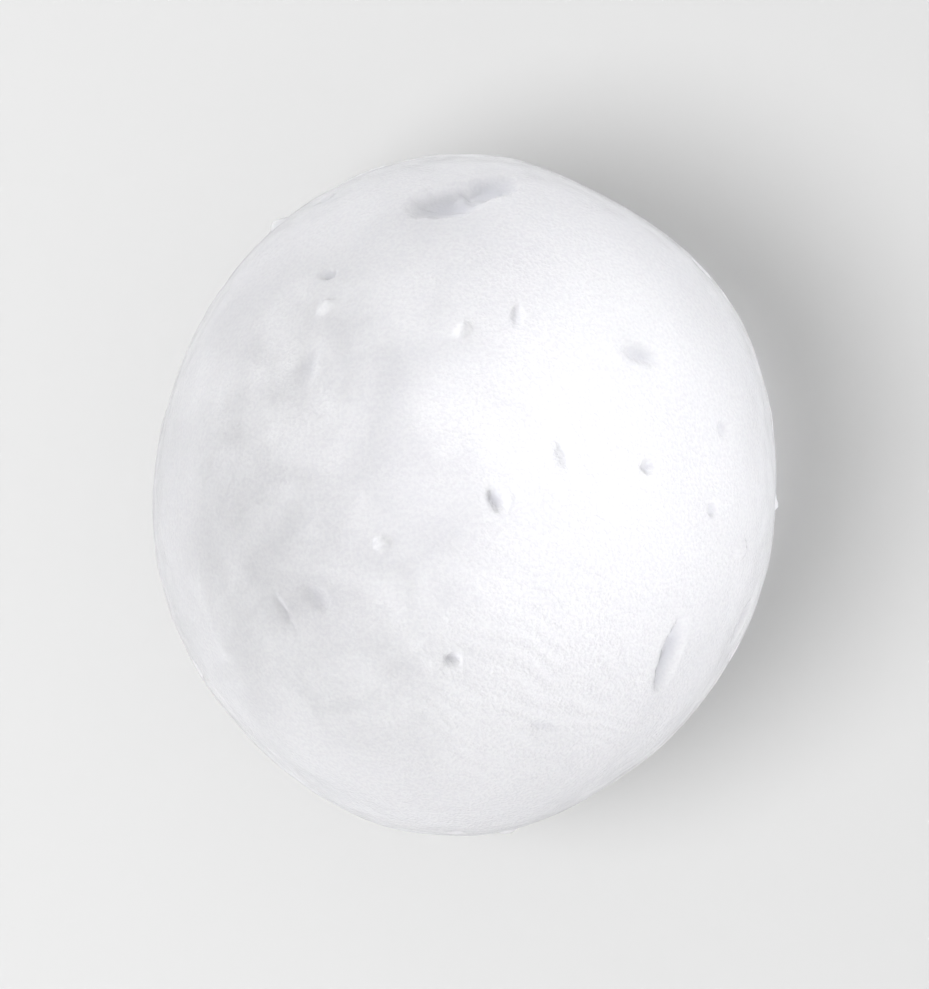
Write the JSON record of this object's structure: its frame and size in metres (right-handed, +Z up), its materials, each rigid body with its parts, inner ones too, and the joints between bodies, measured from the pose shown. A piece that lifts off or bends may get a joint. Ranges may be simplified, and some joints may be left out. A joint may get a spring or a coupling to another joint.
{
  "type": "ice ball",
  "caption": "Solid ball of clear drinking ice, slightly longer one way, frosted skin with dents, pits and a gouge, resting on a small melted flat.",
  "frame": {"origin": "under the middle of the ball's box, in the plane of the melted flat that it rests on", "axes": "+Z up, +Y along the ball's long way, towards its chipped shoulder; the gouge is on the +X -Y side"},
  "size_m": [0.0566, 0.062, 0.0577],
  "materials": {
    "ice": "frosted"
  },
  "bodies": {
    "root": {"ice_ball": "ice"}
  },
  "joints": []
}
